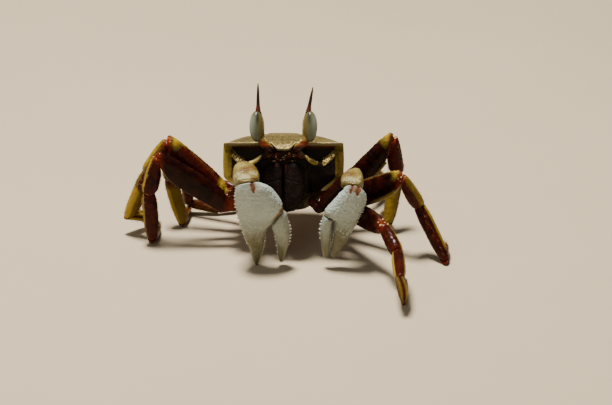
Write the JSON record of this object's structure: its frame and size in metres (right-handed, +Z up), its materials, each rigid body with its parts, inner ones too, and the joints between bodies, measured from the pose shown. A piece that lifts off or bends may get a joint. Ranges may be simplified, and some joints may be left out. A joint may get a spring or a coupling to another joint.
{
  "type": "horned ghost crab model",
  "caption": "Still, life-size horned ghost crab standing alert on bent walking legs, claws held down in front, stalked eyes raised and tipped with long horns.",
  "frame": {"origin": "on the floor, under the middle of the whole animal's box", "axes": "+X to the crab's left, across the legs, +Y to its rear, +Z up; the face looks towards -Y"},
  "size_m": [0.1246, 0.118, 0.0681],
  "materials": {
    "shell": "granular shell, olive beige above and near black maroon on the face",
    "underside": "smooth shell, reddish cream",
    "mouth": "smooth dark maroon shell",
    "leg": "rough dark maroon shell with olive yellow stretches",
    "leg_pale": "rough shell, olive yellow shading to maroon",
    "claw": "pebbled white shell with warm cream fingers",
    "wrist": "pebbled cream shell with brown joint lines",
    "stalk": "smooth orange and olive skin",
    "cornea": "polished grey green with a dark upright bar",
    "horn": "smooth dark red spine"
  },
  "bodies": {
    "root": {"abdomen": "underside", "carapace": "shell", "claw_left_carpus": "wrist", "claw_left_finger": "claw", "claw_left_merus": "leg", "claw_left_palm": "claw", "claw_right_carpus": "wrist", "claw_right_finger": "claw", "claw_right_merus": "leg", "claw_right_palm": "claw", "eye_left": "cornea", "eye_right": "cornea", "eyestalk_left": "stalk", "eyestalk_right": "stalk", "horn_left": "horn", "horn_right": "horn", "leg_2_left_carpus": "leg_pale", "leg_2_left_dactylus": "leg_pale", "leg_2_left_merus": "leg", "leg_2_left_propodus": "leg", "leg_2_right_carpus": "leg_pale", "leg_2_right_dactylus": "leg_pale", "leg_2_right_merus": "leg", "leg_2_right_propodus": "leg", "leg_3_left_carpus": "leg_pale", "leg_3_left_dactylus": "leg_pale", "leg_3_left_merus": "leg", "leg_3_left_propodus": "leg", "leg_3_right_carpus": "leg_pale", "leg_3_right_dactylus": "leg_pale", "leg_3_right_merus": "leg", "leg_3_right_propodus": "leg", "leg_4_left_carpus": "leg_pale", "leg_4_left_dactylus": "leg_pale", "leg_4_left_merus": "leg", "leg_4_left_propodus": "leg", "leg_4_right_carpus": "leg_pale", "leg_4_right_dactylus": "leg_pale", "leg_4_right_merus": "leg", "leg_4_right_propodus": "leg", "leg_5_left_carpus": "leg_pale", "leg_5_left_dactylus": "leg_pale", "leg_5_left_merus": "leg", "leg_5_left_propodus": "leg", "leg_5_right_carpus": "leg_pale", "leg_5_right_dactylus": "leg_pale", "leg_5_right_merus": "leg", "leg_5_right_propodus": "leg", "maxilliped_left": "mouth", "maxilliped_right": "mouth", "thorax": "underside"}
  },
  "joints": []
}
